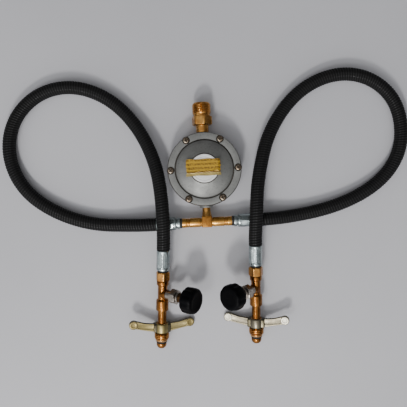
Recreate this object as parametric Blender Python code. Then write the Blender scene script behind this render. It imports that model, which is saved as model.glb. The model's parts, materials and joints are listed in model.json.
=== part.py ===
"""Two-cylinder gas regulator set, laid out flat.

A round diaphragm regulator has a threaded outlet adapter on one side and a tee on the other.
A flexible hose leaves each end of the tee, loops round and ends in a cylinder connector with
a side valve and a winged nut.

The origin is on the surface the set lies on, under the middle of the regulator. +Y runs along
the outlet and +Z is up. Sizes are in millimetres and angles in degrees, and MM turns the
sizes into Blender's metres where meshes and places are made.
"""

import math
from dataclasses import dataclass

import bmesh
import bpy
import numpy as np

MM = 0.001
GAP = 0.3
HEX = 6
SEGMENTS = 12
BIG_SEGMENTS = 24
BORE_SEGMENTS = 14

# Regulator, heights above the surface it lies on
PORT_HEIGHT = 16.0
BASE_RADIUS = 31.0
CAVITY_RADIUS = 40.0
BOWL_RADIUS = 43.3
FLANGE_RADIUS = 53.7
HOUSING_FLANGE = (21.0, 27.0)
DIAPHRAGM = (27.3, 28.8)
COVER_FLANGE = (29.1, 33.1)
DOME_RADIUS = 42.0
NECK_RADIUS = 16.5
CAP_RADIUS = 20.1
CAP_TOP = 48.2
SCREW_CIRCLE = 48.6
SCREW_COUNT = 6
SCREW_HOLE_RADIUS = 2.7
SCREW_HEAD_RADIUS = 4.8
INLET_BOSS_RADIUS = 9.5
INLET_BOSS_END = 56.0
OUTLET_BOSS_RADIUS = 10.8
OUTLET_BOSS_END = 53.9
INLET_BORE_RADIUS = 6.3
OUTLET_BORE_RADIUS = 8.7

# Lever and slider that carry the diaphragm's movement to the inlet nozzle
LEVER_PIVOT = (0.0, -12.0, 9.0)
SLIDER_RADIUS = 4.2
SLIDER_ENDS = (-21.5, -5.5)
POST_RADIUS = 3.4
SPRING_WIRE = 0.9
SPRING_RADIUS = 13.0
SPRING_TURNS = 3
SPRING_ENDS = (32.0, 39.8)

# Outlet adapter, distances along +Y
ADAPTER_HEX = 26.5
ADAPTER_THREAD_RADIUS = 13.2
ADAPTER_END = 97.4

# Tee, distances from its middle
TEE_Y = -77.0
TEE_BLOCK = (7.6, 8.8)
TEE_BARREL_RADIUS = 6.9
TEE_END = 36.3

# Hose ends, distances along the fitting
HOSE_RADIUS = 9.8
HOSE_LEAD = 8.0
HOSE_POINTS = 34
FERRULE_RADIUS = 9.6
FERRULE_BORE = 8.2
FERRULE_LENGTH = 29.0
TAIL_RADIUS = 4.6
TAIL_BORE = 3.0
TEE_FERRULE_START = 45.4
VALVE_FERRULE_START = 118.5

# Cylinder connector, distances from its nose
HUB = 31.0
TILT = 8.5
AXIS_HEIGHT = 13.3
STEM_RADIUS = 6.3
NUT_THREAD_RADIUS = 10.5
WING_HUB = (24.3, 38.5)
WING_SHOULDER = (12.6, 5.6)
WING_REACH = 41.8
WING_SWEEP = 6.3
WING_THICKNESS = 4.4
WING_TIP_RADIUS = 6.5
HOSE_NUT_HEX = 18.0

# Side valve, distances from the connector's axis
BRANCH = 83.0
KNOB_RADIUS = 18.7
KNOB_LOBES = 10
KNOB_LOBE_DEPTH = 1.1
KNOB_ENDS = (41.2, 60.0)


@dataclass
class Side:
    """One hose and its connector. lean turns the connector's axis away from +Y."""

    name: str
    sign: int
    hub: tuple
    lean: float
    branch_angle: float
    wing_roll: float
    route: list


LEFT = Side(
    name="left",
    sign=-1,
    hub=(-74.3, -228.8),
    lean=-4.6,
    branch_angle=33.0,
    wing_roll=14.0,
    route=[
        (-121.5, -76, 11.2), (-160.5, -72.5, 9.9), (-198.5, -62, 9.9), (-234, -44, 9.9),
        (-264, -18, 9.9), (-283, 18, 9.9), (-286, 58, 9.9), (-270.5, 96, 9.9),
        (-240.5, 122, 9.9), (-202, 132, 9.9), (-163.5, 125, 9.9), (-129.5, 105, 10.5),
        (-103, 76.5, 13), (-83.5, 43, 18.5), (-70.5, 6, 26), (-64.5, -32.5, 33.5),
        (-63, -71, 36),
    ],
)
RIGHT = Side(
    name="right",
    sign=1,
    hub=(64.9, -228.6),
    lean=-1.4,
    branch_angle=135.0,
    wing_roll=-14.0,
    route=[
        (121.5, -75, 11.2), (160.5, -69.5, 9.9), (198, -60, 9.9), (234, -44.5, 9.9),
        (266, -21, 9.9), (287.5, 11.5, 9.9), (293.5, 51, 9.9), (283.5, 90, 9.9),
        (255.5, 119, 9.9), (217.5, 131, 9.9), (177.5, 125, 9.9), (143, 105.5, 10.5),
        (116, 77, 13), (95.5, 42.5, 18.5), (83, 6, 26), (74.5, -32.5, 33.5),
        (70.5, -71.5, 36),
    ],
)

BRASS = ("brass", (0.60, 0.36, 0.13, 1), 0.3, 1.0)
NICKEL = ("nickel", (0.72, 0.69, 0.62, 1), 0.28, 1.0)
ZINC_CAST = ("zinc_cast", (0.42, 0.43, 0.43, 1), 0.5, 1.0)
STEEL = ("zinc_plated_steel", (0.52, 0.55, 0.58, 1), 0.35, 1.0)
SPRING_STEEL = ("spring_steel", (0.5, 0.5, 0.5, 1), 0.35, 1.0)
HOSE_COVER = ("hose_cover", (0.012, 0.012, 0.012, 1), 0.75, 0.0)
RUBBER = ("rubber", (0.01, 0.01, 0.01, 1), 0.7, 0.0)
KNOB_PLASTIC = ("knob_plastic", (0.012, 0.012, 0.013, 1), 0.4, 0.0)
WHITE_PLASTIC = ("white_plastic", (0.8, 0.8, 0.78, 1), 0.45, 0.0)
LABEL_FILM = ("label_film", (0.7, 0.42, 0.06, 1), 0.5, 0.0)


def clear_scene():
    for obj in list(bpy.data.objects):
        bpy.data.objects.remove(obj, do_unlink=True)


def material(kind):
    """One material for each sub-part, all those of a kind alike."""
    name, colour, roughness, metallic = kind
    made = bpy.data.materials.new(name)
    made.use_nodes = True
    shader = made.node_tree.nodes["Principled BSDF"]
    shader.inputs["Base Color"].default_value = colour
    shader.inputs["Roughness"].default_value = roughness
    shader.inputs["Metallic"].default_value = metallic
    return made


def frame(name, place, turn, parent=None):
    """An empty at a place in millimetres, turned by degrees about X, then Y, then Z."""
    empty = bpy.data.objects.new(name, None)
    bpy.context.collection.objects.link(empty)
    empty.location = [value * MM for value in place]
    empty.rotation_euler = [math.radians(value) for value in turn]
    empty.parent = parent
    return empty


def add(name, data, kind, parent):
    """Links an object. With no kind it's a cutter or a tool, which isn't rendered."""
    obj = bpy.data.objects.new(name, data)
    bpy.context.collection.objects.link(obj)
    obj.parent = parent
    if kind is None:
        obj.hide_render = True
        obj.display_type = "WIRE"
    else:
        data.materials.append(material(kind))
    return obj


def finish_mesh(name, bm, kind, parent, place=(0, 0, 0)):
    bmesh.ops.recalc_face_normals(bm, faces=bm.faces)
    mesh = bpy.data.meshes.new(name)
    bm.to_mesh(mesh)
    bm.free()
    mesh.shade_smooth()
    mesh.set_sharp_from_angle(angle=math.radians(35))
    obj = add(name, mesh, kind, parent)
    obj.location = [value * MM for value in place]
    return obj


def ring(bm, segments, radius, height, sides=None):
    """Vertices round local Z. With sides, radius is half the width across flats."""
    if radius == 0:
        return [bm.verts.new((0, 0, height * MM))]
    verts = []
    for index in range(segments):
        angle = math.tau * index / segments
        reach = radius
        if sides:
            reach /= math.cos(angle % (math.tau / sides) - math.pi / sides)
        x, y = reach * math.cos(angle), reach * math.sin(angle)
        verts.append(bm.verts.new((x * MM, y * MM, height * MM)))
    return verts


def bridge(bm, low, high):
    """Faces between two rings, either of which may be a single vertex on the axis."""
    count = max(len(low), len(high))
    for index in range(count):
        after = (index + 1) % count
        corners = [low[index % len(low)], low[after % len(low)]]
        corners += [high[after % len(high)], high[index % len(high)]]
        bm.faces.new(list(dict.fromkeys(corners)))


def turned(name, kind, profile, parent=None, segments=SEGMENTS, bored=False, place=(0, 0, 0)):
    """A piece turned about local Z from (radius, height) points, with HEX added where it is
    hexagonal. A bored piece's profile goes on through its bore, back to its first point."""
    bm = bmesh.new()
    rings = [ring(bm, segments, *point) for point in profile]
    for low, high in zip(rings, rings[1:]):
        bridge(bm, low, high)
    if bored:
        bridge(bm, rings[-1], rings[0])
    else:
        for end in (rings[0], rings[-1]):
            if len(end) > 1:
                bm.faces.new(end)
    return finish_mesh(name, bm, kind, parent, place)


def rod(name, kind, radius, ends, parent=None, segments=SEGMENTS, place=(0, 0, 0)):
    return turned(name, kind, [(radius, ends[0]), (radius, ends[1])], parent, segments, place=place)


def block(name, kind, low, high, parent=None):
    bm = bmesh.new()
    bmesh.ops.create_cube(bm, size=1)
    for vert in bm.verts:
        for axis in range(3):
            corner = high[axis] if vert.co[axis] > 0 else low[axis]
            vert.co[axis] = corner * MM
    return finish_mesh(name, bm, kind, parent)


def plate(name, kind, outline, thickness, parent=None):
    """An outline in local X and Z, extruded to both sides of it along local Y."""
    bm = bmesh.new()
    half = thickness / 2 * MM
    face = bm.faces.new([bm.verts.new((x * MM, -half, z * MM)) for x, z in outline])
    extruded = bmesh.ops.extrude_face_region(bm, geom=[face])["geom"]
    moved = [item for item in extruded if isinstance(item, bmesh.types.BMVert)]
    bmesh.ops.translate(bm, verts=moved, vec=(0, 2 * half, 0))
    return finish_mesh(name, bm, kind, parent)


def combine(obj, operation, *tools):
    for tool in tools:
        modifier = obj.modifiers.new(tool.name, "BOOLEAN")
        modifier.operation = operation
        modifier.solver = "EXACT"
        modifier.object = tool


def turn(obj, x=0, y=0, z=0):
    obj.rotation_euler = [math.radians(value) for value in (x, y, z)]
    return obj


def curve(name, kind, points, radius, resolution):
    """A round bar with flat ends along points in millimetres."""
    data = bpy.data.curves.new(name, "CURVE")
    data.dimensions = "3D"
    data.bevel_depth = radius * MM
    data.bevel_resolution = resolution
    data.use_fill_caps = True
    spline = data.splines.new("POLY")
    spline.points.add(len(points) - 1)
    for spot, point in zip(spline.points, points):
        spot.co = (*[float(value) * MM for value in point], 1)
    return add(name, data, kind, None)


def screw_places():
    """Middles of the cover screws round the regulator's flange."""
    for index in range(SCREW_COUNT):
        angle = math.tau * index / SCREW_COUNT
        yield SCREW_CIRCLE * math.cos(angle), SCREW_CIRCLE * math.sin(angle)


def screw_holes(obj, ends):
    for x, y in screw_places():
        hole = rod("screw_hole", None, SCREW_HOLE_RADIUS, ends, place=(x, y, 0))
        combine(obj, "DIFFERENCE", turn(hole, z=10))


def lower_housing():
    """Cast bowl with the inlet and outlet bosses and the cradle of the slider."""
    profile = [
        (0, 0), (BASE_RADIUS, 0), (38, 2.5), (BOWL_RADIUS, 9),
        (BOWL_RADIUS, HOUSING_FLANGE[0]), (FLANGE_RADIUS, HOUSING_FLANGE[0]),
        (FLANGE_RADIUS, HOUSING_FLANGE[1]), (CAVITY_RADIUS, HOUSING_FLANGE[1]),
        (CAVITY_RADIUS, 9), (36, 4), (0, 3),
    ]
    housing = turned("lower_housing", ZINC_CAST, profile, segments=BIG_SEGMENTS)
    ports = frame("port_axis", (0, 0, PORT_HEIGHT), (-90, 0, 0))
    inlet = rod("inlet_boss", None, INLET_BOSS_RADIUS, (-INLET_BOSS_END, -41), ports)
    outlet = rod("outlet_boss", None, OUTLET_BOSS_RADIUS, (41, OUTLET_BOSS_END), ports)
    cheeks = [
        block("left_cheek", None, (-6.5, -19, 2), (-2.2, -7, 14.5)),
        block("right_cheek", None, (2.2, -19, 2), (6.5, -7, 14.5)),
    ]
    combine(housing, "UNION", inlet, outlet, *cheeks)
    cuts = [
        rod("inlet_bore", None, INLET_BORE_RADIUS, (-60, -44.2), ports),
        rod("nozzle_hole", None, 5.3, (-45, -35), ports),
        rod("outlet_bore", None, OUTLET_BORE_RADIUS, (41.4, 60), ports),
        rod("outlet_passage", None, 6, (35, 42), ports),
        rod("slider_channel", None, SLIDER_RADIUS + GAP, (-25, 0), ports),
        turn(rod("pin_hole", None, 1.4, (-9, 9), place=LEVER_PIVOT), y=90),
    ]
    combine(housing, "DIFFERENCE", *cuts)
    screw_holes(housing, (15, 35))
    return ports


def diaphragm():
    """Rubber disc with one fold, clamped between the flanges."""
    low, high = DIAPHRAGM
    rim = FLANGE_RADIUS - 0.4
    profile = [
        (4.5, low), (27, low), (31, low + 2), (35, low), (rim, low), (rim, high), (35.6, high),
        (31, high + 2.2), (26.4, high), (4.5, high),
    ]
    disc = turned("diaphragm", RUBBER, profile, segments=BIG_SEGMENTS, bored=True)
    screw_holes(disc, (20, 35))


def diaphragm_stack():
    """Plate and post that rise with the diaphragm. The post's slot holds the lever's end."""
    low = DIAPHRAGM[1] + GAP
    rim = [(4.3, low), (22, low), (22, low + 3), (21, low + 3), (21, low + 1.5), (4.3, low + 1.5)]
    turned("diaphragm_plate", STEEL, rim, bored=True)
    post = [
        (0, 5.7), (POST_RADIUS, 5.7), (POST_RADIUS, 24.4), (7, 24.6), (7, 27), (3.6, 27),
        (3.6, 31.4), (0, 31.4),
    ]
    post = turned("diaphragm_post", BRASS, post)
    slot = block("lever_slot", None, (-1.6, -5, 7.2), (1.6, 5, 11.4))
    combine(post, "DIFFERENCE", slot)


def cover():
    """Domed upper shell, with the neck that the adjusting screw runs in."""
    low, high = COVER_FLANGE
    profile = [
        (39.5, low), (FLANGE_RADIUS, low), (FLANGE_RADIUS, high), (DOME_RADIUS + 0.4, high),
        (DOME_RADIUS, 34.6), (36, 38.2), (30, 41.7), (25, 44.6), (23.2, 46.2),
        (CAP_RADIUS + GAP, 46.4), (CAP_RADIUS + GAP, 44.9), (NECK_RADIUS, 44.9),
        (NECK_RADIUS, 40.2), (28, 39.6), (34.5, 36.2), (39.5, 32.2),
    ]
    shell = turned("spring_cover", ZINC_CAST, profile, segments=BIG_SEGMENTS, bored=True)
    screw_holes(shell, (20, 40))


def cover_screws():
    for number, (x, y) in enumerate(screw_places(), 1):
        top = COVER_FLANGE[1] + GAP
        profile = [
            (0, 21.6), (2.3, 21.6), (2.3, top), (SCREW_HEAD_RADIUS, top),
            (SCREW_HEAD_RADIUS, top + 1.6), (3.4, top + 2.8), (0, top + 2.8),
        ]
        turned(f"cover_screw_{number}", STEEL, profile, place=(x, y, 0))


def spring_and_cap():
    """Spring, the screw that loads it, the cap over both and the label that seals the cap."""
    steps = 12 * SPRING_TURNS
    low, high = SPRING_ENDS
    coil = []
    for step in range(steps + 1):
        angle = math.tau * SPRING_TURNS * step / steps
        height = low + (high - low) * step / steps
        coil.append((SPRING_RADIUS * math.cos(angle), SPRING_RADIUS * math.sin(angle), height))
    curve("regulator_spring", SPRING_STEEL, coil, SPRING_WIRE, 1)
    screw = [(0, 41.2), (16.1, 41.2), (16.1, 44.5), (6, 44.5), (6, 42.5), (0, 42.5)]
    turned("adjusting_screw", BRASS, screw)
    cap = [
        (0, 46.4), (15.5, 46.4), (15.5, 45.2), (CAP_RADIUS, 45.2), (CAP_RADIUS, CAP_TOP - 0.6),
        (CAP_RADIUS - 0.7, CAP_TOP), (0, CAP_TOP),
    ]
    turned("closing_cap", WHITE_PLASTIC, cap, segments=BIG_SEGMENTS)
    top = CAP_TOP + GAP
    line = [(-25.8, top - 3.6), (-20.4, top), (20.4, top), (22.4, top - 1.3)]
    outline = line + [(x, z + 0.25) for x, z in reversed(line)]
    label = plate("tamper_label", LABEL_FILM, outline, 23.5)
    label.location.y = 1.2 * MM


def lever_and_slider(ports):
    """Bell crank on its pin, and the slider it pushes, with a rubber pad facing the nozzle."""
    pivot = frame("lever_pivot", LEVER_PIVOT, (0, 0, 90))
    crank = [
        (-2.4, -2), (2.4, -2), (3.2, -0.8), (13, -0.8), (13, 0.8), (3.2, 0.8), (1.3, 2),
        (1, 2.8), (1, 9.8), (-1, 9.8), (-1, 3.4), (-2.4, 2),
    ]
    lever = plate("lever", BRASS, crank, 2.4, pivot)
    hole = turn(rod("lever_hole", None, 1.4, (-3, 3), pivot), x=90)
    combine(lever, "DIFFERENCE", hole)
    turn(rod("lever_pin", STEEL, 1.05, (-6.2, 6.2), place=LEVER_PIVOT), y=90)
    slider = rod("valve_slider", BRASS, SLIDER_RADIUS, SLIDER_ENDS, ports)
    slot = block("finger_slot", None, (-1.6, -14.4, 8), (1.6, -9.6, 19.4))
    combine(slider, "DIFFERENCE", slot)
    front = SLIDER_ENDS[0] - GAP
    rod("seat_pad", RUBBER, 3.6, (front - 1.8, front), ports)
    nozzle = [
        (3, -43.9), (5, -43.9), (5, -36), (3, -27), (2.4, -25.5), (1.3, -25.5), (1.3, -34),
        (3, -36),
    ]
    turned("inlet_nozzle", BRASS, nozzle, ports, bored=True)


def outlet_adapter(ports):
    """Threaded adapter: a plain neck in the housing, a hexagon and a large male thread."""
    half = ADAPTER_HEX / 2
    profile = [
        (5.5, 41.8), (8.3, 41.8), (8.3, 54.2), (9.1, 54.4), (9.1, 64.4), (half, 65, HEX),
        (half, 78.3, HEX), (11.9, 78.8), (11.9, 80), (ADAPTER_THREAD_RADIUS, 81),
        (ADAPTER_THREAD_RADIUS, 96.4), (12.2, ADAPTER_END), (9, ADAPTER_END), (9, 84), (5.5, 80),
    ]
    adapter = turned("outlet_adapter", BRASS, profile, ports, 24, bored=True)
    turn(adapter, z=12)


def tee():
    """Forged tee: a rough block, two turned barrels for the hoses, and a neck to the inlet."""
    run = frame("tee_run", (0, TEE_Y, PORT_HEIGHT), (0, 90, 0))
    neck_axis = frame("tee_neck", (0, TEE_Y, PORT_HEIGHT), (-90, 0, 0))
    half_run = [
        (TEE_BARREL_RADIUS, 25.6), (6.3, 25.9), (6.3, 26.4), (7, 26.8), (7, 29), (6.4, 29.4),
        (6.4, TEE_END),
    ]
    profile = [(radius, -height) for radius, height in reversed(half_run)] + half_run
    body = turned("tee_body", BRASS, profile, run)
    half, reach = TEE_BLOCK
    middle = block("tee_block", None, (-half, -reach, -half), (half, reach, half), run)
    neck = [(7.4, 0), (7.4, reach + 0.2), (5.9, 14), (5.9, 32.2)]
    neck = turned("neck", None, neck, neck_axis)
    combine(body, "UNION", middle, neck)
    combine(
        body, "DIFFERENCE",
        rod("run_bore", None, 3.5, (-50, 50), run),
        rod("left_socket", None, 5.2, (-50, -24), run),
        rod("right_socket", None, 5.2, (24, 50), run),
        rod("neck_bore", None, 3.5, (0, 50), neck_axis),
    )


def ferrule(name, start, parent):
    """Crimped sleeve over a hose end. Its open end is at start + FERRULE_LENGTH."""
    end = start + FERRULE_LENGTH
    profile = [
        (5.4, start), (FERRULE_RADIUS - 1, start), (FERRULE_RADIUS, start + 0.8),
        (FERRULE_RADIUS, end), (FERRULE_BORE, end), (FERRULE_BORE, start + 2), (5.4, start + 2),
    ]
    turned(name, STEEL, profile, parent, bored=True)


def tail(start):
    """Profile of the insert's tail, inside the ferrule, then back down its bore."""
    barbs = [(TAIL_RADIUS, start + 4), (TAIL_RADIUS, start + 25), (4, start + 26)]
    return barbs + [(TAIL_BORE, start + 26)]


def tee_hose_end(side):
    """What joins a hose to the tee, along an axis that points away from the tee's middle."""
    axis = frame(f"{side.name}_tee_axis", (0, TEE_Y, PORT_HEIGHT), (0, 90 * side.sign, 0))
    seal = [(5.3, TEE_END + GAP), (7.2, TEE_END + GAP), (7.2, 39.3), (5.3, 39.3)]
    turned(f"{side.name}_tee_seal", RUBBER, seal, axis, bored=True)
    insert = [
        (TAIL_BORE, 26), (4.8, 26), (4.8, 39.6), (8.6, 39.6), (8.6, 43.4), (6.8, 43.8),
        (6.8, TEE_FERRULE_START - GAP), (5, TEE_FERRULE_START - GAP),
    ]
    insert += tail(TEE_FERRULE_START)
    turned(f"{side.name}_tee_insert", STEEL, insert, axis, bored=True)
    ferrule(f"{side.name}_tee_ferrule", TEE_FERRULE_START, axis)


def valve_hose_end(side, axis):
    """The hexagonal nut, seal, insert and ferrule that join a hose to its connector."""
    half = HOSE_NUT_HEX / 2
    nut = [
        (7.8, 103), (half, 103, HEX), (half, 115.4, HEX), (8.6, 116), (5.4, 116), (5.4, 113.2),
        (7.8, 113.2),
    ]
    nut = turned(f"{side.name}_hose_nut", BRASS, nut, axis, bored=True)
    turn(nut, z=90)
    start = VALVE_FERRULE_START
    seal = [(5.4, 116.3), (7.6, 116.3), (7.6, start - GAP), (5.4, start - GAP)]
    turned(f"{side.name}_valve_seal", RUBBER, seal, axis, bored=True)
    insert = [(TAIL_BORE, 109.4), (7.3, 109.4), (7.3, 112.9), (5, 112.9)] + tail(start)
    turned(f"{side.name}_valve_insert", STEEL, insert, axis, bored=True)
    ferrule(f"{side.name}_valve_ferrule", start, axis)


def valve_body(side, axis, branch):
    """Connector body, with the passages from the spigot up to the seat and on to the hose."""
    profile = [
        (0, 58), (8.5, 58), (9.1, 58.8), (9.1, 73.2), (8.3, 74), (6.9, 74.8), (6.9, 95.2),
        (8.8, 96), (8.8, 102.5), (7.4, 102.8), (7.4, 108.2), (6.4, 109.1),
    ]
    body = turned(f"{side.name}_valve_body", BRASS, profile, axis)
    boss = rod("branch_boss", None, 7.3, (0, 8.5), branch, BORE_SEGMENTS)
    combine(body, "UNION", boss)
    combine(
        body, "DIFFERENCE",
        rod("spigot_socket", None, STEM_RADIUS + GAP, (50, 70.3), axis),
        rod("inlet_passage", None, 2, (65, 84.5), axis, BORE_SEGMENTS),
        rod("outlet_passage", None, 3, (86.9, 120), axis, BORE_SEGMENTS),
        turn(rod("seat", None, 1.6, (0.5, 5), branch, BORE_SEGMENTS), z=5),
        turn(rod("chamber", None, 5.4, (2.2, 20), branch, BORE_SEGMENTS), z=10),
    )


def spigot(side, axis):
    """Hollow stem that the winged nut runs on, with its rounded nose, and the nose's O-ring."""
    profile = [
        (2.2, 0), (3.6, 0), (6, 1.7), (7.5, 5), (7.5, 8.2), (5.8, 8.4), (5.8, 10.7), (7.4, 10.9),
        (7.4, 11.2), (STEM_RADIUS, 11.3), (STEM_RADIUS, 70), (2.2, 70),
    ]
    turned(f"{side.name}_spigot", BRASS, profile, axis, bored=True)
    rounding = [(6.2, 8.9), (7.4, 8.6), (7.9, 9.55), (7.4, 10.5), (6.2, 10.2)]
    turned(f"{side.name}_nose_o_ring", RUBBER, rounding, axis, bored=True)


def wing_outline():
    """Outline of the two arms, tip to tip, with round ends swept back towards the hose."""
    middle = HUB + WING_SWEEP
    half = [(8, HUB - 5), (24, HUB - 3.6)]
    for degrees in range(-105, 136, 30):
        angle = math.radians(degrees)
        x = WING_REACH + WING_TIP_RADIUS * math.cos(angle)
        half.append((x, middle + WING_TIP_RADIUS * math.sin(angle)))
    half += [(24, HUB + 7.2), (8, HUB + 6.2)]
    return half + [(-x, z) for x, z in reversed(half)]


def winged_nut(side, axis):
    """Threaded nut, the winged handle pressed on it, and the thrust washer in front of it."""
    bore = STEM_RADIUS + GAP
    washer = [(bore, 11.5), (8.8, 11.5), (8.8, 12.9), (bore, 12.9)]
    turned(f"{side.name}_thrust_washer", WHITE_PLASTIC, washer, axis, bored=True)
    roll = frame(f"{side.name}_nut_roll", (0, 0, 0), (0, 0, side.wing_roll), axis)
    low, high = WING_HUB
    nut = [
        (bore, 13.2), (9.6, 13.2), (NUT_THREAD_RADIUS, 14.2), (NUT_THREAD_RADIUS, low - GAP),
        (8, low - GAP), (8, high + GAP), (bore, high + GAP),
    ]
    turned(f"{side.name}_connector_nut", BRASS, nut, roll, bored=True)
    handle = rod(f"{side.name}_wing_handle", NICKEL, 9.7, (low, high), roll)
    arms = plate("arms", None, wing_outline(), WING_THICKNESS, roll)
    width, depth = WING_SHOULDER
    shoulders = block(
        "shoulders", None, (-width, -depth, low + 0.7), (width, depth, high - 0.7), roll
    )
    hole = rod("handle_bore", None, 8.3, (low - 5, high + 5), roll)
    combine(handle, "UNION", arms, shoulders)
    combine(handle, "DIFFERENCE", hole)


def side_valve(side, branch):
    """Bonnet, gland nut and spindle of the side valve, with the pad that closes its seat."""
    bonnet = [
        (4, 5.4), (5.1, 5.4), (5.1, 8.8), (6.8, 8.8), (6.8, 16.8), (9.75, 17.3, HEX),
        (9.75, 27, HEX), (7.5, 27.4), (7.5, 30), (4.6, 30), (4.6, 34), (2.5, 34), (2.5, 12),
        (4, 11),
    ]
    turned(f"{side.name}_valve_bonnet", NICKEL, bonnet, branch, bored=True)
    gland = [
        (4.9, 30.3), (6.5, 30.3, HEX), (6.5, 37.4, HEX), (5.8, 38), (2.5, 38), (2.5, 34.5),
        (4.9, 34.5),
    ]
    turned(f"{side.name}_gland_nut", BRASS, gland, branch, bored=True)
    rod(f"{side.name}_valve_pad", RUBBER, 3.5, (2.5, 4.8), branch)
    rod(f"{side.name}_spindle", BRASS, 2.1, (5.1, 56), branch)


def knob(side, branch):
    """Round knob with soft lobes, and a shallow dish in its face."""
    low, high = KNOB_ENDS
    profile = [
        (0, 56.3), (2.4, 56.3), (2.4, 38.6), (6.6, 38.6), (6.9, low), (15.5, low),
        (KNOB_RADIUS, low + 3), (KNOB_RADIUS, high - 3.5), (15.5, high), (9, high - 0.6),
        (0, high - 0.6),
    ]
    made = turned(f"{side.name}_knob", KNOB_PLASTIC, profile, branch, 3 * KNOB_LOBES)
    for vert in made.data.vertices:
        reach = math.hypot(vert.co.x, vert.co.y)
        if reach > KNOB_RADIUS * MM * 0.9:
            wave = math.cos(KNOB_LOBES * math.atan2(vert.co.y, vert.co.x))
            grow = 1 - KNOB_LOBE_DEPTH * MM * (1 - wave) / 2 / reach
            vert.co.x *= grow
            vert.co.y *= grow


def connector(side):
    """Everything on the cylinder end of a hose. Returns its axis: local Z, nose at zero."""
    hub = frame(
        f"{side.name}_hub", (*side.hub, AXIS_HEIGHT), (TILT - 90, 0, side.lean)
    )
    axis = frame(f"{side.name}_connector_axis", (0, 0, -HUB), (0, 0, 0), hub)
    branch = frame(
        f"{side.name}_branch_axis", (0, 0, BRANCH), (0, 90, -side.branch_angle), axis
    )
    valve_hose_end(side, axis)
    valve_body(side, axis, branch)
    spigot(side, axis)
    winged_nut(side, axis)
    side_valve(side, branch)
    knob(side, branch)
    return axis


def spline_slopes(points, lengths, first, last):
    """Slopes at the points of a cubic spline that starts along first and ends along last."""
    count = len(points)
    left = np.zeros((count, count))
    right = np.zeros((count, 3))
    left[0, 0] = left[-1, -1] = 1
    right[0], right[-1] = first, last
    for index in range(1, count - 1):
        before, after = lengths[index - 1], lengths[index]
        left[index, index - 1 : index + 2] = after, 2 * (before + after), before
        right[index] = 3 * after * (points[index] - points[index - 1]) / before
        right[index] += 3 * before * (points[index + 1] - points[index]) / after
    return np.linalg.solve(left, right)


def smooth_curve(points, first, last, count):
    """count evenly spaced points on the cubic spline through the route's own points."""
    points = np.array(points, float)
    lengths = np.linalg.norm(np.diff(points, axis=0), axis=1)
    slopes = spline_slopes(points, lengths, first, last)
    fine = []
    for index, length in enumerate(lengths):
        for t in np.linspace(0, 1, 40, endpoint=False):
            ease = 3 * t**2 - 2 * t**3
            spot = points[index] * (1 - ease) + points[index + 1] * ease
            spot = spot + length * t * (1 - t) ** 2 * slopes[index]
            fine.append(spot - length * t**2 * (1 - t) * slopes[index + 1])
    fine = np.array([*fine, points[-1]])
    run = np.concatenate([[0], np.cumsum(np.linalg.norm(np.diff(fine, axis=0), axis=1))])
    even = np.linspace(0, run[-1], count)
    return np.stack([np.interp(even, run, fine[:, axis]) for axis in range(3)], axis=1)


def hose(side, axis):
    """The hose, from its ferrule at the tee to its ferrule on the connector."""
    bpy.context.view_layer.update()
    out = np.array([side.sign, 0, 0])
    start = np.array([0, TEE_Y, PORT_HEIGHT]) + out * (TEE_FERRULE_START + FERRULE_LENGTH + GAP)
    along = np.array(axis.matrix_world.to_3x3().col[2])
    nose = np.array(axis.matrix_world.translation) / MM
    end = nose + along * (VALVE_FERRULE_START + FERRULE_LENGTH + GAP)
    leads = [start + out * HOSE_LEAD, *side.route, end + along * HOSE_LEAD]
    points = smooth_curve(leads, out, -along, HOSE_POINTS)
    points[:, 2] = np.maximum(points[:, 2], HOSE_RADIUS + 0.1)
    curve(f"{side.name}_hose", HOSE_COVER, [start, *points, end], HOSE_RADIUS, 3)


def main():
    clear_scene()
    ports = lower_housing()
    diaphragm()
    diaphragm_stack()
    cover()
    cover_screws()
    spring_and_cap()
    lever_and_slider(ports)
    outlet_adapter(ports)
    tee()
    for side in (LEFT, RIGHT):
        tee_hose_end(side)
        hose(side, connector(side))


main()
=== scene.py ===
"""Looks of the two-cylinder gas regulator set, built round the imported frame.

Sizes are in millimetres in the part's own frame, and MM turns them into Blender's metres
where meshes are made. Every fitting is drawn about its own axis, local Z, in the same places
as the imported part: the regulator's ports, the tee, and each hose end's connector and valve.
"""

import json
import math

import bmesh
import bpy
import numpy as np
from mathutils import Euler, Matrix, Vector

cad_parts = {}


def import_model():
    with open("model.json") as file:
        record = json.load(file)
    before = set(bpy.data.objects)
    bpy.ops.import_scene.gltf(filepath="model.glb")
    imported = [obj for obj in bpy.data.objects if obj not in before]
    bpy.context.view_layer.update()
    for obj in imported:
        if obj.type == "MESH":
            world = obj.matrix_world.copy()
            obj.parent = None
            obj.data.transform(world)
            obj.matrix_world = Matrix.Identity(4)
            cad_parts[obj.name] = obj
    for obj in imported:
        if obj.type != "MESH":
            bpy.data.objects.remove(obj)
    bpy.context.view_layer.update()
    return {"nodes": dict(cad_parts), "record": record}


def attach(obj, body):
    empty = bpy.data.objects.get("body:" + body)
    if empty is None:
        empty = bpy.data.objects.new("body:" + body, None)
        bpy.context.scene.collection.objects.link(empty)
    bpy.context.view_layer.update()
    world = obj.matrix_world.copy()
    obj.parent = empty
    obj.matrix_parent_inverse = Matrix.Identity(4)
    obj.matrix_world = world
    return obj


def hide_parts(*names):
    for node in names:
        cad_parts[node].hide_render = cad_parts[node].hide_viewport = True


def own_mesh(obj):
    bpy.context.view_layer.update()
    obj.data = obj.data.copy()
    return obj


MM = 0.001
GAP = 0.3
SMALL_ROUND = 72
ROUND = 96
FINE_ROUND = 144

# Places of the fittings
PORT_HEIGHT = 16.0
TEE_Y = -77.0
HUB = 31.0
TILT = 8.5
AXIS_HEIGHT = 13.3
BRANCH = 83.0

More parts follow.
